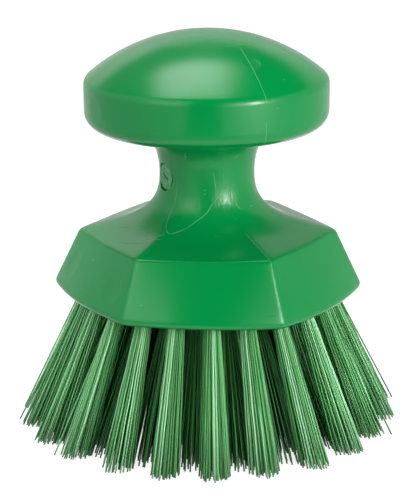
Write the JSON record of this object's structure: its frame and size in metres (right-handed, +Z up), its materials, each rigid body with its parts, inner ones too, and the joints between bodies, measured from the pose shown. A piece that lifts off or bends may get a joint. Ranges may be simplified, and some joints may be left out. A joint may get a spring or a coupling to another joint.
{
  "type": "round hand scrubbing brush",
  "caption": "Round hand scrubbing brush: a palm knob on a waisted neck over a six-sided block, with stapled tufts fanning out below.",
  "frame": {"origin": "on the brush's axis, in the plane of the trimmed bristle tips that it stands on", "axes": "+Z up through the knob; +X through a corner of the six-sided block; -Y square to one of its sides"},
  "size_m": [0.1088, 0.1095, 0.1152],
  "materials": {
    "moulding": "smooth moulded green polypropylene, semi-gloss",
    "filament": "green crimped polyester filament",
    "staple": "drawn stainless steel wire"
  },
  "bodies": {
    "root": {"brush_block": "moulding", "staple_heart_01": "staple", "staple_heart_02": "staple", "staple_heart_03": "staple", "tuft_heart_01": "filament", "tuft_heart_02": "filament", "tuft_heart_03": "filament", "tuft_outer_01": "filament", "tuft_outer_02": "filament", "tuft_outer_03": "filament", "tuft_outer_04": "filament", "tuft_outer_05": "filament", "tuft_outer_06": "filament", "tuft_outer_07": "filament", "tuft_outer_08": "filament", "tuft_outer_09": "filament", "tuft_outer_10": "filament", "tuft_outer_11": "filament", "tuft_outer_12": "filament", "tuft_outer_13": "filament", "tuft_outer_14": "filament", "tuft_outer_15": "filament", "tuft_outer_16": "filament", "tuft_outer_17": "filament", "tuft_outer_18": "filament", "tuft_outer_19": "filament", "tuft_outer_20": "filament", "tuft_outer_21": "filament", "tuft_outer_22": "filament", "tuft_second_01": "filament", "tuft_second_02": "filament", "tuft_second_03": "filament", "tuft_second_04": "filament", "tuft_second_05": "filament", "tuft_second_06": "filament", "tuft_second_07": "filament", "tuft_second_08": "filament", "tuft_second_09": "filament", "tuft_second_10": "filament", "tuft_second_11": "filament", "tuft_second_12": "filament", "tuft_second_13": "filament", "tuft_second_14": "filament", "tuft_second_15": "filament", "tuft_second_16": "filament", "tuft_second_17": "filament", "tuft_second_18": "filament", "tuft_second_19": "filament", "tuft_second_20": "filament", "tuft_third_01": "filament", "tuft_third_02": "filament", "tuft_third_03": "filament", "tuft_third_04": "filament", "tuft_third_05": "filament", "tuft_third_06": "filament", "tuft_third_07": "filament", "tuft_third_08": "filament", "tuft_third_09": "filament", "tuft_third_10": "filament"}
  },
  "joints": []
}
